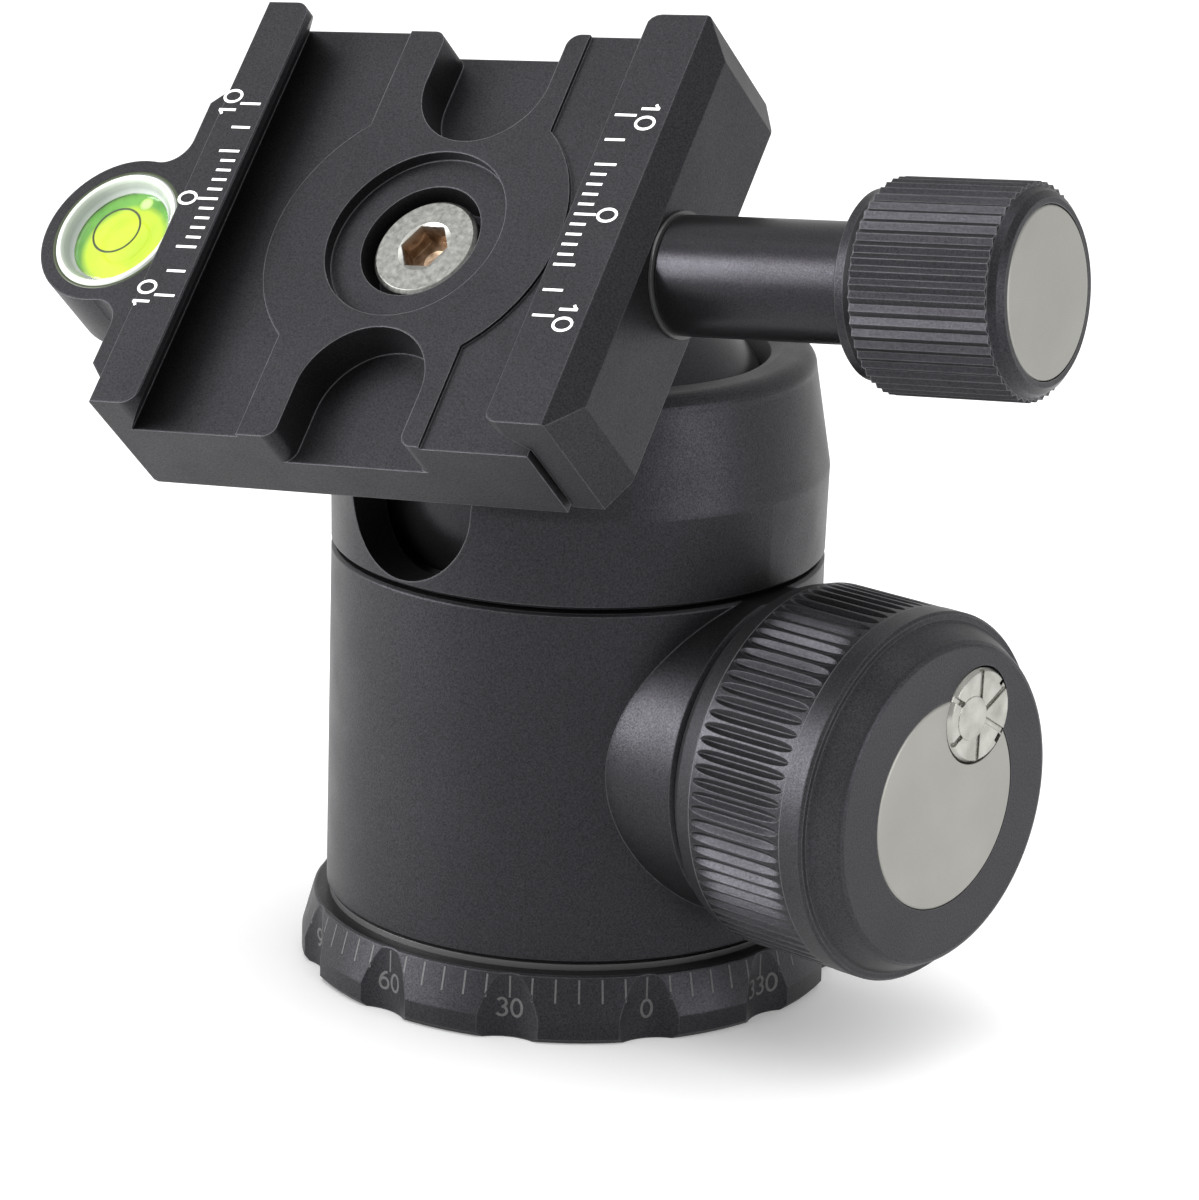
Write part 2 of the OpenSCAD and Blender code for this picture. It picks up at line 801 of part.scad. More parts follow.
module sliding_jaw() {
    x0 = base_side + jaw_gap;
    half = jaw_l / 2;
    corner = 3.2;
    corner_x = 1.8;
    color(black)
        clamp_frame()
            difference() {
                intersection() {
                    translate([0, half + 1, 0]) rotate([90, 0, 0]) linear_extrude(height = jaw_l + 2)
                        polygon([[x0, -clamp_t], [jaw_side - 0.3, -clamp_t], [jaw_side, -clamp_t + 0.3],
                                 [jaw_side, -jaw_bevel], [jaw_side - jaw_bevel, 0],
                                 [jaw_lip + 0.12, 0], [jaw_lip, -0.12], [jaw_lip, -lip_h],
                                 [x0, -floor_d + 0.1]]);
                    translate([0, 0, -clamp_t - 1]) linear_extrude(height = clamp_t + 2)
                        polygon(concat(
                            arc(jaw_lip + 1.2, -half + 1.2, 1.2, 180, 270, 4),
                            [[jaw_side - corner_x, -half], [jaw_side, -half + corner],
                             [jaw_side, half - corner], [jaw_side - corner_x, half]],
                            arc(jaw_lip + 1.2, half - 1.2, 1.2, 90, 180, 4)));
                }
                translate([0, axis_y, -axis_d]) rotate([0, 90, 0]) rod(bolt_r + 0.1, x0 - 1, jaw_side + 1);
                for (s = [-1, 1])
                    translate([0, s * pin_y, -pin_d]) rotate([0, 90, 0]) rod(pin_r, x0 - 1, 22.9);
            }
}

module jaw_guide_pins() {
    color(steel)
        clamp_frame()
            for (s = [-1, 1])
                translate([0, s * pin_y, -pin_d])
                    rotate([0, 90, 0])
                        rod(pin_r, 10, 22.9);
}

// ---------------------------------------------------------------- clamp knob

module clamp_bolt() {
    color(steel)
        clamp_knob_frame() rod(bolt_r, 10, grip_x + 8);
}

module clamp_washer() {
    color(dark)
        clamp_knob_frame() ring(neck_r + 0.3, bolt_r + run, jaw_side + 0.03, jaw_side + 0.3);
}

module clamp_knob_neck() {
    color(black)
        clamp_knob_frame()
            difference() {
                rotate_extrude()
                    polygon([[0, jaw_side + 0.3], [neck_r - 0.2, jaw_side + 0.3],
                             [neck_r, jaw_side + 0.5], [neck_r, grip_x - 0.6],
                             [neck_r + 0.25, grip_x - 0.35], [neck_r + 0.25, grip_x], [0, grip_x]]);
                rod(bolt_r + run, jaw_side, grip_x + 1);
            }
}

module clamp_knob() {
    root = grip_r - rib_depth;
    color(black)
        clamp_knob_frame()
            difference() {
                union() {
                    rotate_extrude()
                        polygon([[0, grip_x], [grip_r - 1.15, grip_x], [grip_r - 1, grip_x + 0.15],
                                 [grip_r - 1, grip_x + 0.9], [root, grip_x + 1.8],
                                 [root, grip_end - 1.1], [grip_r - 0.7, grip_end - 0.45],
                                 [grip_r - 1.25, grip_end], [0, grip_end]]);
                    translate([0, 0, grip_x + 1.9])
                        linear_extrude(height = grip_end - grip_x - 3)
                            polygon(ribbed(grip_r, rib_depth - 0.05, grip_ribs));
                }
                rod(bolt_r + run, grip_x - 1, grip_x + 8.1);
                rod(grip_disc_r + 0.08, grip_end - 0.7, grip_end + 1);
            }
}

module clamp_knob_disc() {
    color(grey)
        clamp_knob_frame()
            rotate_extrude()
                polygon([[0, grip_end - 0.7], [grip_disc_r, grip_end - 0.7],
                         [grip_disc_r, grip_end - 0.08], [grip_disc_r - 0.12, grip_end + 0.03],
                         [0, grip_end + 0.03]]);
}

// ---------------------------------------------------------------- spirit level

module level_frame() {
    clamp_frame()
        translate([-level_x, level_y, -ear_d])
            children();
}

module level_cup() {
    color(white)
        level_frame()
            rotate_extrude()
                polygon([[0, -5.1], [bezel_r, -5.1], [bezel_r, -0.05], [bezel_r - 0.15, 0.15],
                         [bezel_r - 0.5, 0.15], [liquid_r + 0.05, lens_z], [liquid_r, lens_z - 0.05],
                         [liquid_r, -3.6], [0, -3.6]]);
}

module level_liquid() {
    color("#dff04a")
        level_frame() rod(liquid_r - 0.02, -3.58, lens_z - 0.42);
}

module level_lens() {
    color([0.9, 0.95, 0.9, 0.4])
        level_frame()
            rotate_extrude()
                polygon([[0, lens_z - 0.4], [liquid_r - 0.02, lens_z - 0.4],
                         [liquid_r - 0.02, lens_z - 0.08], [liquid_r - 0.15, lens_z], [0, lens_z]]);
}

// ---------------------------------------------------------------- the nodes

pan_base();
pan_washer();
retaining_plate();
retaining_screws();
housing();
top_collar();
knob_bush();
cup_guide_pin();
ball_cup();
cup_liner();
lock_pusher();
main_knob();
knob_flute_band();
main_knob_disc();
main_shaft();
tension_dial();
pan_lock_knob();
pan_lock_screw();
pan_lock_shoe();
seat_ring();
ball();
stem();
clamp_base();
plate_screw();
jaw_springs();
level_cup();
level_liquid();
level_lens();
sliding_jaw();
jaw_guide_pins();
clamp_bolt();
clamp_washer();
clamp_knob_neck();
clamp_knob();
clamp_knob_disc();
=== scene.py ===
import math

import bmesh
import bpy
from mathutils import Matrix, Vector


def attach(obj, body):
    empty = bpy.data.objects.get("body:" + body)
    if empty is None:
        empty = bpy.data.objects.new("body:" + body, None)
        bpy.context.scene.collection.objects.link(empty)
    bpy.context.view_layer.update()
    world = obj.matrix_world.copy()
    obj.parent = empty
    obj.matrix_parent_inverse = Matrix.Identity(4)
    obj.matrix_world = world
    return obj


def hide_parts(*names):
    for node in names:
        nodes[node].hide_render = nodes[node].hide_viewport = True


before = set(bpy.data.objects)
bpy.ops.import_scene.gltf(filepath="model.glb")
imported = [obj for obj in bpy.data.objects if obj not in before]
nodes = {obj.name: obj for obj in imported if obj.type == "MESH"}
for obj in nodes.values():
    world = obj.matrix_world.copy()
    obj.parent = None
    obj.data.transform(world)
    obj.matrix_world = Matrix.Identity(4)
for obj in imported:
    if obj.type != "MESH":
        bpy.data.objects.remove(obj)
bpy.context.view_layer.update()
MM = 0.001

# ---------------------------------------------------------------- frames, in mm, as in the CAD source

BALL_Z = 45.7                       # the ball's centre
LEAN_TURN, LEAN = 3.7, 44.3         # the stem's lean: its heading from -Y, and its angle from upright
CLAMP_TURN, CLAMP_D = 8.5, 37.5     # the clamp's turn on the stem, and its top's distance from the ball
LEVEL_X, LEVEL_Y = 30.95, -0.6      # the level's place on the clamp
EAR_D = 4.4                         # how far the level's ear lies below the clamp's top
KNOB_Z = 23.9                       # the main knob's axis


def turn(axis, degrees):
    return Matrix.Rotation(math.radians(degrees), 4, axis)


STEM = Matrix.Translation((0, 0, BALL_Z)) @ turn("Z", LEAN_TURN) @ turn("X", LEAN)
CLAMP = STEM @ turn("Z", CLAMP_TURN) @ Matrix.Translation((0, 0, CLAMP_D))
LEVEL = CLAMP @ Matrix.Translation((-LEVEL_X, LEVEL_Y, -EAR_D))
KNOB = Matrix.Translation((0, 0, KNOB_Z)) @ turn("Y", 90)


def at(matrix, x, y, z):
    """Point of a CAD frame, given in millimetres, as a point of the scene, in metres."""
    return matrix @ Vector((x, y, z)) * MM


# ---------------------------------------------------------------- materials


class Shader:
    """Small helper around one material's node tree. Lengths in it are metres."""

    SOCKETS = {
        "color": "Base Color", "rough": "Roughness", "metal": "Metallic", "ior": "IOR",
        "spec": "Specular IOR Level", "tint": "Specular Tint", "glass": "Transmission Weight",
        "alpha": "Alpha", "normal": "Normal",
        "glow": "Emission Strength", "glow_color": "Emission Color",
        "soft": "Subsurface Weight", "soft_radius": "Subsurface Radius",
    }

    def __init__(self, name):
        self.material = bpy.data.materials.new(name)
        self.material.use_nodes = True
        self.tree = self.material.node_tree
        self.bsdf = self.tree.nodes["Principled BSDF"]
        coordinates = self.tree.nodes.new("ShaderNodeTexCoord")
        self.place = coordinates.outputs["Object"]

    def node(self, kind, **settings):
        made = self.tree.nodes.new("ShaderNode" + kind)
        for key, value in settings.items():
            setattr(made, key, value)
        return made

    def link(self, a, b):
        self.tree.links.new(a, b)

    def feed(self, socket, value):
        """Gives a socket a number, a triple or another node's output."""
        if isinstance(value, (int, float)):
            socket.default_value = value
        elif isinstance(value, (tuple, list)):
            rest = (1,) if len(socket.default_value) == 4 else ()
            socket.default_value = tuple(value) + rest
        else:
            self.link(value, socket)

    def set(self, **values):
        for key, value in values.items():
            self.feed(self.bsdf.inputs[self.SOCKETS[key]], value)

    def noise(self, scale, detail=2.0, rough=0.5):
        made = self.node("TexNoise")
        made.inputs["Scale"].default_value = scale
        made.inputs["Detail"].default_value = detail
        made.inputs["Roughness"].default_value = rough
        self.link(self.place, made.inputs["Vector"])
        return made.outputs["Fac"]

    def ramp(self, value, stops):
        made = self.node("ValToRGB")
        ramp = made.color_ramp
        while len(ramp.elements) < len(stops):
            ramp.elements.new(0.5)
        for element, (where, colour) in zip(ramp.elements, stops):
            element.position = where
            grey = isinstance(colour, (int, float))
            element.color = (colour,) * 3 + (1,) if grey else tuple(colour) + (1,)
        self.link(value, made.inputs[0])
        return made.outputs[0]

    def spread(self, value, low, high, start=0.3, end=0.7):
        """Runs from low to high as the value goes from start to end."""
        return self.ramp(value, [(start, low), (end, high)])

    def math(self, operation, a, b, clamp=False):
        made = self.node("Math", operation=operation, use_clamp=clamp)
        self.feed(made.inputs[0], a)
        self.feed(made.inputs[1], b)
        return made.outputs[0]

    def mix(self, factor, a, b, blend="MIX"):
        made = self.node("Mix", data_type="RGBA", blend_type=blend)
        for socket, value in ((made.inputs[0], factor), (made.inputs[6], a), (made.inputs[7], b)):
            self.feed(socket, value)
        return made.outputs[2]

    def distance(self, point):
        """Distance of the shaded place from a point."""
        made = self.node("VectorMath", operation="DISTANCE")
        made.inputs[1].default_value = point
        self.link(self.place, made.inputs[0])
        return made.outputs["Value"]

    def height_over(self, point, normal):
        """Height of the shaded place over the plane through a point."""
        away = self.node("VectorMath", operation="SUBTRACT")
        away.inputs[1].default_value = point
        self.link(self.place, away.inputs[0])
        made = self.node("VectorMath", operation="DOT_PRODUCT")
        made.inputs[1].default_value = normal
        self.link(away.outputs[0], made.inputs[0])
        return made.outputs["Value"]

    def fade(self, value, start, slope):
        """0 up to start, then rising by slope to 1; a negative slope fades the other way."""
        return self.math("MULTIPLY", self.math("SUBTRACT", value, start), slope, clamp=True)

    def relief(self, height, strength, depth, edge_radius=0.0):
        """Bump from a height, over edges softened by edge_radius."""
        bump = self.node("Bump")
        bump.inputs["Strength"].default_value = strength
        bump.inputs["Distance"].default_value = depth
        self.link(height, bump.inputs["Height"])
        if edge_radius:
            bevel = self.node("Bevel", samples=4)
            bevel.inputs["Radius"].default_value = edge_radius
            self.link(bevel.outputs[0], bump.inputs["Normal"])
        self.set(normal=bump.outputs[0])
        return bump.outputs[0]

    def edges(self, radius):
        """Mask that is 1 on sharp edges and 0 on faces."""
        bevel = self.node("Bevel", samples=6)
        bevel.inputs["Radius"].default_value = radius
        geometry = self.node("NewGeometry")
        dot = self.node("VectorMath", operation="DOT_PRODUCT")
        self.link(bevel.outputs[0], dot.inputs[0])
        self.link(geometry.outputs["Normal"], dot.inputs[1])
        return self.math("SUBTRACT", 1.0, dot.outputs["Value"], clamp=True)


def shade(tone, factor):
    return tuple(c * factor for c in tone)


FINE, GRAIN = 0.01 * MM, 0.02 * MM      # heights of the relief
EDGE_MASK_R = 0.18 * MM
# colour of the brighter edges: partly wear, partly painted highlight
EDGE_WEAR_AND_HIGHLIGHT = (0.19, 0.19, 0.2)
COOL_TINT = (0.90, 0.87, 1.0)


def anodised(name, tone, rough, grain, grain_size, edge, radius):
    """Black anodised aluminium: blasted grain, faint cloudy tone, edges a little brighter, partly as wear
    and partly as a painted highlight.
    """
    s = Shader(name)
    cloud = s.noise(90.0, 3.0, 0.6)
    speck = s.noise(1.0 / grain_size, 2.0, 0.6)
    low = tuple(tone * k for k in (0.86, 0.86, 0.9))
    high = tuple(tone * k for k in (1.12, 1.12, 1.17))
    colour = s.spread(cloud, low, high)
    colour = s.mix(0.8, colour, s.spread(speck, 0.2, 1.7), "MULTIPLY")
    # brighter edges: partly wear, partly a painted highlight along the rims
    patchy = s.spread(s.noise(420.0), 0.5, 1.0)
    mask = s.math("MULTIPLY", s.edges(EDGE_MASK_R), patchy)
    colour = s.mix(s.math("MULTIPLY", mask, edge, clamp=True), colour, EDGE_WEAR_AND_HIGHLIGHT)
    sheen = s.spread(s.noise(0.7 / grain_size, 2.0, 0.65), 0.18, 0.42)
    s.set(color=colour, metal=0.0, spec=sheen, ior=1.5, tint=COOL_TINT)
    s.set(rough=s.spread(s.noise(160.0), rough - 0.04, rough + 0.04))
    s.relief(speck, grain, GRAIN, radius)
    return s.material


def metal(name, tone, rough):
    """Bare turned metal, slightly uneven in tone and polish."""
    s = Shader(name)
    fine = s.noise(2600.0, 3.0, 0.6)
    s.set(color=s.spread(s.noise(260.0, 3.0), shade(tone, 0.88), tone), metal=1.0,
          rough=s.spread(fine, rough - 0.05, rough + 0.06))
    s.relief(fine, 0.12, GRAIN, 0.1 * MM)
    return s.material


def plastic(name, tone, rough):
    """Plain moulded plastic."""
    s = Shader(name)
    s.set(color=s.spread(s.noise(700.0, 3.0), shade(tone, 0.9), tone), rough=rough)
    s.relief(s.noise(5200.0), 0.1, GRAIN, 0.1 * MM)
    return s.material


def clear_material(name, tone, rough, glass, alpha=1.0):
    """Clear plastic; glass is how much light it refracts, alpha how much of the surface shows."""
    s = Shader(name)
    s.set(color=s.spread(s.noise(500.0), shade(tone, 0.94), tone), glass=glass, alpha=alpha,
          rough=s.spread(s.noise(2600.0), rough, rough + 0.03), spec=0.2, ior=1.46)
    return s.material


def print_material(name, tone, rough, gaps):
    """Printed or engraved marks, a little uneven."""
    s = Shader(name)
    worn = s.noise(5200.0, 3.0, 0.7)
    s.set(color=s.spread(worn, shade(tone, gaps), tone, end=0.62), rough=rough)
    s.relief(worn, 0.1, FINE)
    return s.material


def disc_material():
    """Satin grey of the knobs' discs."""
    s = Shader("disc_satin_grey")
    fine = s.noise(9000.0)
    cloud = s.noise(120.0, 3.0)
    s.set(color=s.spread(cloud, (0.26, 0.256, 0.236), (0.29, 0.286, 0.265)),
          metal=0.75, rough=s.spread(fine, 0.42, 0.52))
    s.relief(fine, 0.18, FINE, 0.1 * MM)
    return s.material


def nickel_material():
    """Nickel of the tension dial, smoother and more mottled than the discs."""
    s = Shader("nickel_dial")
    fine = s.noise(900.0, 4.0, 0.6)
    mottle = s.noise(500.0)
    s.set(color=s.spread(mottle, (0.28, 0.275, 0.25), (0.42, 0.415, 0.385)),
          metal=1.0, rough=s.spread(fine, 0.2, 0.32))
    s.relief(fine, 0.12, 0.03 * MM, 0.15 * MM)
    return s.material


HEAD_TOP = 5.6                      # mm, from the clamp's top down to the screw's face
SOCKET_ZONE_R = 3.3 * MM            # the socket lies inside this
CHAMFER_R, CHAMFER_SLOPE = 2.45 * MM, 0.7
SOCKET_START, SOCKET_FADE = -0.12 * MM, -1800.0     # height and slope with which the brown comes in


def screw_material():
    """Satin steel with a painted highlight on the chamfer around a socket that turns brown and dull inside.
    """
    s = Shader("plate_screw_steel")
    centre = at(CLAMP, 0, 0, -HEAD_TOP)
    normal = (CLAMP.to_3x3() @ Vector((0, 0, 1))).normalized()
    across = s.distance(centre)
    deep = s.fade(s.height_over(centre, normal), SOCKET_START, SOCKET_FADE)
    socket = s.math("MULTIPLY", deep, s.math("LESS_THAN", across, SOCKET_ZONE_R))
    fine = s.noise(1900.0, 4.0, 0.7)
    face = s.spread(fine, (0.15, 0.152, 0.142), (0.29, 0.292, 0.275), 0.25, 0.75)
    brown = s.spread(s.noise(1500.0, 3.0), (0.20, 0.13, 0.08), (0.42, 0.31, 0.22))
    # the chamfer's ring is painted pale: a painted highlight
    face = s.mix(s.math("LESS_THAN", across, CHAMFER_R), face, (0.5, 0.5, 0.47))
    s.set(color=s.mix(socket, face, brown), metal=1.0, rough=s.spread(fine, 0.34, 0.5))
    grain = s.relief(fine, 0.3, GRAIN, 0.1 * MM)
    chamfer = s.node("Bump")
    chamfer.inputs["Distance"].default_value = CHAMFER_SLOPE
    s.link(s.math("MINIMUM", across, CHAMFER_R), chamfer.inputs["Height"])
    s.link(grain, chamfer.inputs["Normal"])
    s.set(normal=chamfer.outputs[0])
    return s.material


LIQUID_TOP = -1.27                  # mm, in the level's frame
# outside this off-centre circle the liquid turns darker green: painted shade of the wall seen through the
# liquid
YELLOW_CENTRE, YELLOW_R, WALL_FADE = (0.55, -0.75, -1.25), 3.6 * MM, 1400.0
# the bubble is drawn in colour: a pale painted highlight in its middle, darkening towards its rim as painted
# shade
BUBBLE_CENTRE, BUBBLE_R, BUBBLE_FADE = (1.0, 3.55, LIQUID_TOP), 0.78 * MM, -5200.0
BUBBLE_SHADE_R = 0.8 * MM


def liquid_material():
    """Yellow-green liquid, greener in an off-centre crescent as painted shade where the vial's wall shows,
    with a pale bubble at its highest side drawn with a painted highlight; it glows a little as painted
    light.
    """
    s = Shader("level_liquid")
    wall = s.fade(s.distance(at(LEVEL, *YELLOW_CENTRE)), YELLOW_R, WALL_FADE)
    yellow = s.spread(s.noise(300.0), (0.65, 0.86, 0.03), (0.78, 0.93, 0.06))
    green = s.spread(s.noise(600.0), (0.10, 0.36, 0.04), (0.20, 0.52, 0.08))
    away = s.distance(at(LEVEL, *BUBBLE_CENTRE))
    bubble = s.ramp(s.fade(away, 0.0, 1 / BUBBLE_SHADE_R),
                    [(0.45, (0.74, 0.90, 0.42)), (0.78, (0.50, 0.78, 0.16)), (0.95, (0.13, 0.36, 0.04))])
    colour = s.mix(s.fade(away, BUBBLE_R, BUBBLE_FADE), s.mix(wall, yellow, green), bubble)
    # the liquid glows a little in its own colour: painted light, making up for the light that the lens keeps
    # from it
    s.set(color=colour, rough=0.25, spec=0.15, glow=0.17, glow_color=colour,
          soft=0.25, soft_radius=(1.0 * MM, 1.0 * MM, 0.4 * MM))
    return s.material


BEZEL_TOP = 0.15                    # mm, in the level's frame
BEZEL_START, BEZEL_WIDTH = 4.6 * MM, 1.4 * MM


def bezel_material():
    """Clear plastic in rings of tone: painted shade, greyer and greenish, on the inner slope, and pale
    painted highlights on the rim.
    """
    s = Shader("bezel_acrylic")
    step = s.fade(s.distance(at(LEVEL, 0, 0, BEZEL_TOP)), BEZEL_START, 1 / BEZEL_WIDTH)
    # pale rings are painted highlights, grey ones painted shade
    painted_light_bands = s.ramp(step, [(0.10, (0.72, 0.77, 0.73)), (0.25, (0.46, 0.52, 0.46)), (0.46, (0.55, 0.62, 0.52)),
                          (0.56, (0.80, 0.84, 0.79)), (0.66, (0.46, 0.52, 0.42)), (0.84, (0.85, 0.88, 0.84)),
                          (0.95, (0.70, 0.74, 0.69))])
    cloud = s.spread(s.noise(420.0), 0.86, 1.0)
    s.set(color=s.mix(1.0, painted_light_bands, cloud, "MULTIPLY"), glass=0.2, ior=1.46, rough=0.12, spec=0.5)
    s.relief(s.noise(2600.0), 0.05, FINE, 0.08 * MM)
    return s.material


BLACK = anodised("anodised_blasted", tone=0.006, rough=0.42, grain=0.6, grain_size=0.12 * MM,
                 edge=2.4, radius=0.24 * MM)
BLACK_RIDGES = anodised("anodised_ridges", tone=0.006, rough=0.38, grain=0.6, grain_size=0.12 * MM,
                        edge=2.4, radius=0.1 * MM)
BLACK_KNOB = anodised("anodised_knob", tone=0.012, rough=0.42, grain=0.6, grain_size=0.12 * MM,
                      edge=2.0, radius=0.2 * MM)
BLACK_FINE = anodised("anodised_turned", tone=0.005, rough=0.30, grain=0.16, grain_size=0.08 * MM,
                      edge=2.0, radius=0.12 * MM)
WHITE_PRINT = print_material("white_print", (0.86, 0.86, 0.85), rough=0.5, gaps=0.86)
GREY_PRINT = print_material("grey_engraving", (0.062, 0.062, 0.064), rough=0.55, gaps=0.6)
# ink of the printed target ring; the same dark ink draws the painted shadow in the level's pocket gap
RING_INK_AND_GAP_SHADOW = print_material("level_ring_ink_and_gap_shadow", (0.018, 0.03, 0.003), rough=0.4, gaps=0.8)
WINDOW = clear_material("window_film", (0.03, 0.035, 0.03), rough=0.08, glass=0.0, alpha=0.05)

LOOKS = {
    BLACK: "pan_base housing top_collar clamp_base sliding_jaw",
    BLACK_KNOB: "main_knob pan_lock_knob",
    BLACK_RIDGES: "knob_flute_band clamp_knob",
    BLACK_FINE: "ball stem clamp_knob_neck",
    metal("steel_satin", (0.60, 0.59, 0.57), rough=0.3): (
        "retaining_plate retaining_screws cup_guide_pin ball_cup lock_pusher main_shaft "
        "pan_lock_screw jaw_springs jaw_guide_pins clamp_bolt"),
    metal("brass_turned", (0.72, 0.55, 0.27), rough=0.3): "knob_bush pan_lock_shoe",
    plastic("slip_plastic", (0.82, 0.82, 0.79), rough=0.42): "cup_liner",
    plastic("dark_washer", (0.045, 0.045, 0.046), rough=0.35): "pan_washer clamp_washer seat_ring",
    disc_material(): "main_knob_disc clamp_knob_disc",
    nickel_material(): "tension_dial",
    screw_material(): "plate_screw",
    liquid_material(): "level_liquid",
    clear_material("clear_acrylic", (0.97, 0.99, 0.97), rough=0.02, glass=1.0): "level_lens",
    bezel_material(): "level_cup",
}
for material, names in LOOKS.items():
    for name in names.split():
        data = nodes[name].data
        data.materials.clear()
        data.materials.append(material)

# ---------------------------------------------------------------- mesh pieces, in mm


def new_object(name, bm, material):
    """Object made from a bmesh, in the scene."""
    data = bpy.data.meshes.new(name)
    bm.to_mesh(data)
    bm.free()
    data.materials.append(material)
    made = bpy.data.objects.new(name, data)
    bpy.context.scene.collection.objects.link(made)
    return made


def piece(name, bm, material, body):
    """Turns a bmesh into an object that rides on a CAD body."""
    bmesh.ops.recalc_face_normals(bm, faces=bm.faces)
    made = new_object(name, bm, material)
    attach(made, body)
    return made


def circle(radius, around):
    """Points of a full circle."""
    angles = (2 * math.pi * i / around for i in range(around))
    return [(radius * math.cos(a), radius * math.sin(a)) for a in angles]


def disc(matrix, radius, low, high, around=96):
    """Round plate between two heights of a frame."""
    bm = bmesh.new()
    lower, upper = ([bm.verts.new(at(matrix, x, y, z)) for x, y in circle(radius, around)]
                    for z in (low, high))
    for i in range(around):
        j = (i + 1) % around
        bm.faces.new((lower[i], lower[j], upper[j], upper[i]))
    bm.faces.new(lower)
    bm.faces.new(upper)
    return bm


def torus(matrix, radius, thick, z, flat, around=72, section=8):
    """Ring about a frame's axis; flat is the share of its thickness that its height keeps."""
    bm = bmesh.new()
    profile = circle(thick, section)
    rows = [[bm.verts.new(at(matrix, (radius + out) * x, (radius + out) * y, z + flat * rise))
             for out, rise in profile]
            for x, y in circle(1.0, around)]
    for i in range(around):
        a, b = rows[i], rows[(i + 1) % around]
        for k in range(section):
            bm.faces.new((a[k], a[(k + 1) % section], b[(k + 1) % section], b[k]))
    return bm


def ribbon(bm, points, width, place, low, high, closed=False):
    """Flat stroke along points, laid on a surface by place(u, v, height)."""
    count = len(points)
    rows = []
    for i, (u, v) in enumerate(points):
        before = points[(i - 1) % count] if closed or i > 0 else points[i]
        after = points[(i + 1) % count] if closed or i < count - 1 else points[i]
        du, dv = after[0] - before[0], after[1] - before[1]
        length = math.hypot(du, dv) or 1.0
        nu, nv = -dv / length * width / 2, du / length * width / 2
        corners = ((u + nu, v + nv, high), (u - nu, v - nv, high),
                   (u - nu, v - nv, low), (u + nu, v + nv, low))
        rows.append([bm.verts.new(place(*c)) for c in corners])
    last = count if closed else count - 1
    for i in range(last):
        a, b = rows[i], rows[(i + 1) % count]
        for k in range(4):
            bm.faces.new((a[k], a[(k + 1) % 4], b[(k + 1) % 4], b[k]))
    if not closed:
        bm.faces.new(rows[0])
        bm.faces.new(rows[-1])


# ---------------------------------------------------------------- digits, in a cell CELL_W wide and 1 high

CELL_W = 0.62
MID = CELL_W / 2


def arc(cx, cy, rx, ry, start, end, steps):
    """Points along an oval, between two angles in degrees."""
    return [(cx + rx * math.cos(math.radians(start + (end - start) * i / steps)),
             cy + ry * math.sin(math.radians(start + (end - start) * i / steps)))
            for i in range(steps + 1)]


def loop(cy, rx, ry, steps):
    """Closed stroke: an oval about the cell's middle."""
    return True, arc(MID, cy, rx, ry, 0, 360, steps)[:-1]


def line(*points):
    """Open stroke."""
    return False, list(points)


def upside_down(stroke):
    """The stroke after half a turn about the cell's middle."""
    closed, points = stroke
    return closed, [(CELL_W - u, 1 - v) for u, v in points]


SIX = [loop(0.31, 0.29, 0.31, 24),
       line((0.02, 0.31), (0.05, 0.55), (0.16, 0.78), (0.32, 0.94), (0.52, 1.0))]
DIGITS = {
    "0": [loop(0.5, 0.30, 0.5, 28)],
    "1": [line((0.12, 0.74), (0.22, 0.82), (0.34, 0.98)), line((0.34, 1.0), (0.34, 0.5), (0.34, 0))],
    "2": [line(*arc(0.31, 0.70, 0.28, 0.30, 165, -35, 14), (0.3, 0.27), (0.03, 0.01)),
          line((0.0, 0.01), (0.3, 0.01), (0.62, 0.01))],
    "3": [line(*arc(0.29, 0.75, 0.25, 0.25, 150, -90, 14)),
          line(*arc(0.29, 0.25, 0.29, 0.26, 90, -155, 16))],
    "4": [line((0.46, 0), (0.46, 0.5), (0.46, 1.0), (0.02, 0.28), (0.3, 0.28), (0.62, 0.28))],
    "5": [line((0.56, 1.0), (0.12, 1.0), (0.07, 0.55), *arc(0.29, 0.32, 0.29, 0.32, 105, -150, 16))],
    "6": SIX,
    "7": [line((0.02, 1.0), (0.3, 1.0), (0.6, 1.0)), line((0.58, 1.0), (0.38, 0.5), (0.22, 0))],
    "8": [loop(0.76, 0.23, 0.24, 20), loop(0.27, 0.29, 0.27, 24)],
    "9": [upside_down(stroke) for stroke in SIX],
}


def label(bm, text, height, advance, width, place, low, high, widen=1.0):
    """Digits centred on u = 0, standing on v = 0."""
    start = -((len(text) - 1) * advance + CELL_W * height * widen) / 2
    for i, which in enumerate(text):
        for closed, points in DIGITS[which]:
            laid = [(start + i * advance + u * height * widen, v * height) for u, v in points]
            ribbon(bm, laid, width, place, low, high, closed)


# ---------------------------------------------------------------- millimetre scales on the two jaws

SINK, RISE = -0.02, 0.012           # how deep the ink starts, and how proud it stands
TICK_W, LONG_TICK, MIDDLE_TICK, SHORT_TICK = 0.24, 2.07, 1.9, 1.5
TICKS = [(y, LONG_TICK if y % 5 == 0 else SHORT_TICK) for y in range(-5, 6)]
TICKS += [(-7.5, MIDDLE_TICK), (7.5, MIDDLE_TICK), (-10, LONG_TICK), (10, LONG_TICK)]
FIXED_START, SLIDING_START = -18.0, 17.4
NUMBER_GAP = 2.28                   # from where the marks start to the numbers' feet
NUMBER_H, NUMBER_ADVANCE, NUMBER_STROKE, NUMBER_WIDEN = 1.72, 1.5, 0.25, 1.18


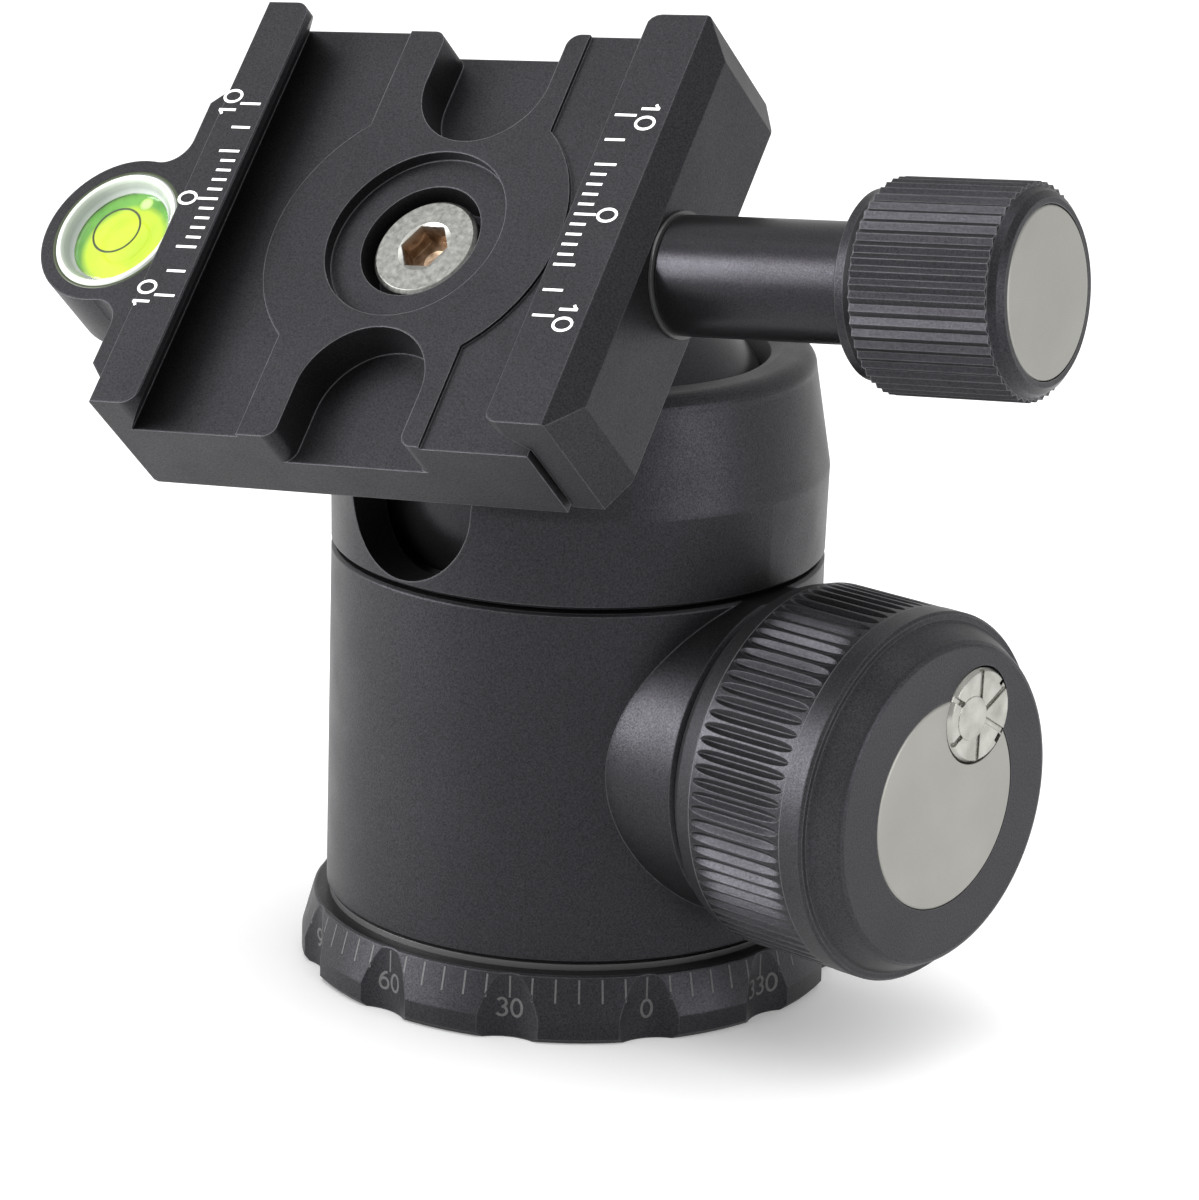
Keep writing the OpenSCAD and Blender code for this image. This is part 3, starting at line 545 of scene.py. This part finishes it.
def jaw_scale(name, side, start, body):
    """side -1: the fixed jaw, marks run to -x; side 1: the sliding jaw, marks run to +x."""
    bm = bmesh.new()

    def flat(x, y, h):
        return at(CLAMP, x, y, h)

    for y, length in TICKS:
        ribbon(bm, [(start, y), (start + side * length / 2, y), (start + side * length, y)],
               TICK_W, flat, SINK, RISE)
    foot = start + side * NUMBER_GAP
    for y in (-10, 0, 10):
        label(bm, str(abs(y)), NUMBER_H, NUMBER_ADVANCE, NUMBER_STROKE,
              lambda u, v, h, y=y: flat(foot + side * v, y - side * u, h), SINK, RISE, NUMBER_WIDEN)
    return piece(name, bm, WHITE_PRINT, body)


jaw_scale("fixed_jaw_scale", -1, FIXED_START, "platform")
jaw_scale("sliding_jaw_scale", 1, SLIDING_START, "jaw")

# ---------------------------------------------------------------- degree scale on the base ring

BASE_R, BASE_TOP_R, BAND_H, CONE_TOP = 23.9, 22.9, 2.1, 5.75
SCALLOP_R, SCALLOP_DEPTH, SCALE_TURN = 4.35, 1.1, -31.2
MARK_STEP, NUMBER_STEP = 5, 30      # degrees
MARK_FOOT, MARK_H, MARK_PARTS = 3.6, 2.0, 6
MARK_W = 0.42                       # degrees
DEGREE_FOOT, DEGREE_H, DEGREE_ADVANCE, DEGREE_STROKE = 1.95, 1.55, 1.3, 0.24
ENGRAVE_RISE = 0.008


def ring_radius(degrees, z):
    """Radius of the scalloped ring's surface at an angle and a height."""
    slope = (BASE_R - BASE_TOP_R) / (CONE_TOP - BAND_H)
    outer = BASE_R - max(0.0, z - BAND_H) * slope
    off = (degrees - SCALE_TURN + NUMBER_STEP / 2) % NUMBER_STEP - NUMBER_STEP / 2
    centre = BASE_R - SCALLOP_DEPTH + SCALLOP_R
    side = centre * math.sin(math.radians(off))
    if abs(side) < SCALLOP_R:
        outer = min(outer, centre * math.cos(math.radians(off)) - math.sqrt(SCALLOP_R ** 2 - side ** 2))
    return outer


def on_ring(degrees, z, h):
    r = ring_radius(degrees, z) + h
    a = math.radians(degrees)
    return Vector((r * math.cos(a), r * math.sin(a), z)) * MM


def degree_scale():
    """A mark every 5 degrees, and a number in each scallop."""
    bm = bmesh.new()
    heights = [MARK_FOOT + MARK_H * i / MARK_PARTS for i in range(MARK_PARTS + 1)]
    for k in range(360 // MARK_STEP):
        angle = SCALE_TURN + MARK_STEP * k
        ribbon(bm, [(angle, z) for z in heights], MARK_W, on_ring, SINK, ENGRAVE_RISE)
    for degrees in range(0, 360, NUMBER_STEP):
        label(bm, str(degrees), DEGREE_H, DEGREE_ADVANCE, DEGREE_STROKE,
              lambda u, v, h, middle=SCALE_TURN - degrees:
              on_ring(middle + math.degrees(u / BASE_TOP_R), DEGREE_FOOT + v, h), SINK, ENGRAVE_RISE)
    return piece("degree_scale", bm, GREY_PRINT, "base")


degree_scale()

# ---------------------------------------------------------------- main knob: milled flutes

KNOB_R, FLUTE_X, FLUTE_END, FLUTES = 16.0, 26.9, 36.7, 84
FLUTE_HALF_W, FLUTE_DEPTH, FLUTE_MARGIN, LIP_DEPTH = 0.52, 0.46, 0.12, 1.1
FLUTE_STEPS, TIP_W = 26, 0.02
V_DEPTH = 1.06                                      # where the V's sides would meet, as a share of the depth
ACROSS = (-1.0, -0.55, -0.08, 0.08, 0.55, 1.0)      # places across a flute, as shares of its half width


def flute_shape(t):
    """Half width and depth of a flute at t, -1 and 1 being its tips, as shares of the middle's."""
    if abs(t) >= 1:
        return 0.0, 0.0
    taper = 1 - abs(t) ** 4.5
    return taper ** 0.5, taper ** 0.8


def flute_row(wide, deep):
    """Angles and radii around the knob, at one place along the flutes."""
    pitch = 2 * math.pi / FLUTES
    row = []
    for k in range(FLUTES):
        row.append(((k - 0.5) * pitch, KNOB_R))
        for s in ACROSS:
            angle = k * pitch + s * max(wide, TIP_W) * FLUTE_HALF_W / KNOB_R
            row.append((angle, KNOB_R - FLUTE_DEPTH * deep * (V_DEPTH * (1 - abs(s)))))
    return row


def flute_band():
    """Ring whose flutes are pointed ovals with a V floor, between narrow lands."""
    bm = bmesh.new()
    mid, half = (FLUTE_X + FLUTE_END) / 2, (FLUTE_END - FLUTE_X) / 2 - FLUTE_MARGIN
    steps = [-1 + 2 * i / FLUTE_STEPS for i in range(FLUTE_STEPS + 1)]
    ends = [(FLUTE_X - mid) / half, (FLUTE_END - mid) / half]
    stations = [ends[0]] + [math.copysign(abs(t) ** 0.8, t) for t in steps] + [ends[1]]
    rings = [(t, flute_row(*flute_shape(t))) for t in stations]
    count = len(rings[0][1])
    inner = [(2 * math.pi * j / count - math.pi / FLUTES, KNOB_R - LIP_DEPTH) for j in range(count)]
    rings += [(t, inner) for t in reversed(ends)]
    grid = [[bm.verts.new(at(KNOB, r * math.cos(a), r * math.sin(a), mid + half * t)) for a, r in ring]
            for t, ring in rings]
    for a, b in zip(grid, grid[1:] + grid[:1]):
        for j in range(count):
            bm.faces.new((a[j], a[(j + 1) % count], b[(j + 1) % count], b[j]))
    return bm


band = piece("knob_flutes", flute_band(), BLACK_RIDGES, "knob")
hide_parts("knob_flute_band")

# ---------------------------------------------------------------- spirit level: window, ring, and a pocket line of painted shadow

WINDOW_R, WINDOW_T, WINDOW_Z = 5.17, 0.04, -0.12
TARGET_R, TARGET_THICK, TARGET_RISE, TARGET_FLAT = 2.28, 0.105, 0.03, 0.3
POCKET_R, POCKET_THICK, POCKET_FLAT = 6.04, 0.13, 0.2

piece("level_window", disc(LEVEL, WINDOW_R, WINDOW_Z - WINDOW_T, WINDOW_Z), WINDOW,
      "platform")
piece("level_target_ring", torus(LEVEL, TARGET_R, TARGET_THICK, WINDOW_Z + TARGET_RISE, TARGET_FLAT),
      RING_INK_AND_GAP_SHADOW, "platform")
# a thin dark ring round the cup: painted shadow of the gap between the cup and its pocket
piece("level_pocket_gap_shadow", torus(LEVEL, POCKET_R, POCKET_THICK, 0.0, POCKET_FLAT), RING_INK_AND_GAP_SHADOW,
      "platform")

# ---------------------------------------------------------------- floor

FLOOR_HALF, FLOOR_Z = 4.0, -0.05 * MM
FLOOR_GLOW = 0.2                    # lifts the shadow to the photograph's soft one


def floor():
    s = Shader("floor_white")
    s.set(color=s.spread(s.noise(900.0), 0.92, 0.94), rough=0.65, spec=0.2,
          glow_color=(1, 1, 1), glow=FLOOR_GLOW)
    bm = bmesh.new()
    corners = ((-1, -1), (1, -1), (1, 1), (-1, 1))
    bm.faces.new([bm.verts.new((FLOOR_HALF * x, FLOOR_HALF * y, FLOOR_Z)) for x, y in corners])
    made = new_object("floor", bm, s.material)
    return made


ground = floor()

# ---------------------------------------------------------------- camera, fitted to the photograph

FOCAL_PX, WIDTH_PX, SENSOR = 5394.9, 1199.0, 36.0
VIEW_TURN = 41.0                    # degrees from the -Y side towards the knob's
YAW, PITCH, ROLL = -0.253, 16.699, -1.643
EYE = (0, -457.04, 169.94)          # mm, before the view's turn

camera_data = bpy.data.cameras.new("camera")
camera_data.sensor_fit = "HORIZONTAL"
camera_data.sensor_width = SENSOR
camera_data.lens = SENSOR * FOCAL_PX / WIDTH_PX
camera_data.clip_start = 0.01
camera = bpy.data.objects.new("camera", camera_data)
bpy.context.scene.collection.objects.link(camera)
basis = (turn("Z", VIEW_TURN) @ turn("Z", YAW) @ turn("X", -PITCH) @ turn("Y", ROLL)).to_3x3()
right, forward, up = (basis @ Vector(v) for v in ((1, 0, 0), (0, 1, 0), (0, 0, 1)))
eye = turn("Z", VIEW_TURN) @ Vector(EYE) * MM
camera.matrix_world = Matrix((
    (right.x, up.x, -forward.x, eye.x),
    (right.y, up.y, -forward.y, eye.y),
    (right.z, up.z, -forward.z, eye.z),
    (0, 0, 0, 1)))
bpy.context.scene.camera = camera

# ---------------------------------------------------------------- light

TARGET = Vector((5, -5, 45)) * MM   # the place that the boxes face
ROOM_LIGHT = 0.84


def receivers(name, state):
    """Light group that holds the floor alone ("INCLUDE") or all but the floor ("EXCLUDE")."""
    group = bpy.data.collections.new(name)
    group.objects.link(ground)
    group.collection_objects[0].light_linking.link_state = state
    return group


def softbox(name, azimuth, elevation, distance, width, height, power, group=None):
    """Rectangular light, in metres and degrees; azimuth 0 is the camera's, and it grows to the right."""
    data = bpy.data.lights.new(name, "AREA")
    data.shape = "RECTANGLE"
    data.size, data.size_y = width, height
    data.energy = power
    made = bpy.data.objects.new(name, data)
    bpy.context.scene.collection.objects.link(made)
    a = math.radians(-90 + VIEW_TURN + azimuth)
    e = math.radians(elevation)
    ray = Vector((math.cos(a) * math.cos(e), math.sin(a) * math.cos(e), math.sin(e)))
    made.location = TARGET + ray * distance
    made.rotation_euler = ray.to_track_quat("Z", "Y").to_euler()
    if group:
        made.light_linking.receiver_collection = group


FLOOR_ONLY = receivers("floor_only", "INCLUDE")
OFF_FLOOR = receivers("off_floor", "EXCLUDE")
softbox("left_box", azimuth=-80, elevation=19, distance=0.9, width=0.6, height=0.55, power=15.5,
        group=OFF_FLOOR)
softbox("right_box", azimuth=54, elevation=2, distance=0.9, width=0.35, height=0.6, power=5.0,
        group=OFF_FLOOR)
softbox("top_box", azimuth=-60, elevation=80, distance=1.0, width=0.8, height=0.8, power=5.5)
softbox("floor_fill", azimuth=40, elevation=55, distance=1.2, width=1.0, height=1.0, power=4.5,
        group=FLOOR_ONLY)

world = bpy.data.worlds.new("studio")
world.use_nodes = True
background = world.node_tree.nodes["Background"]
background.inputs["Color"].default_value = (1, 1, 1, 1)
background.inputs["Strength"].default_value = ROOM_LIGHT
scene = bpy.context.scene
scene.world = world
scene.view_settings.view_transform = "Standard"
scene.view_settings.look = "None"
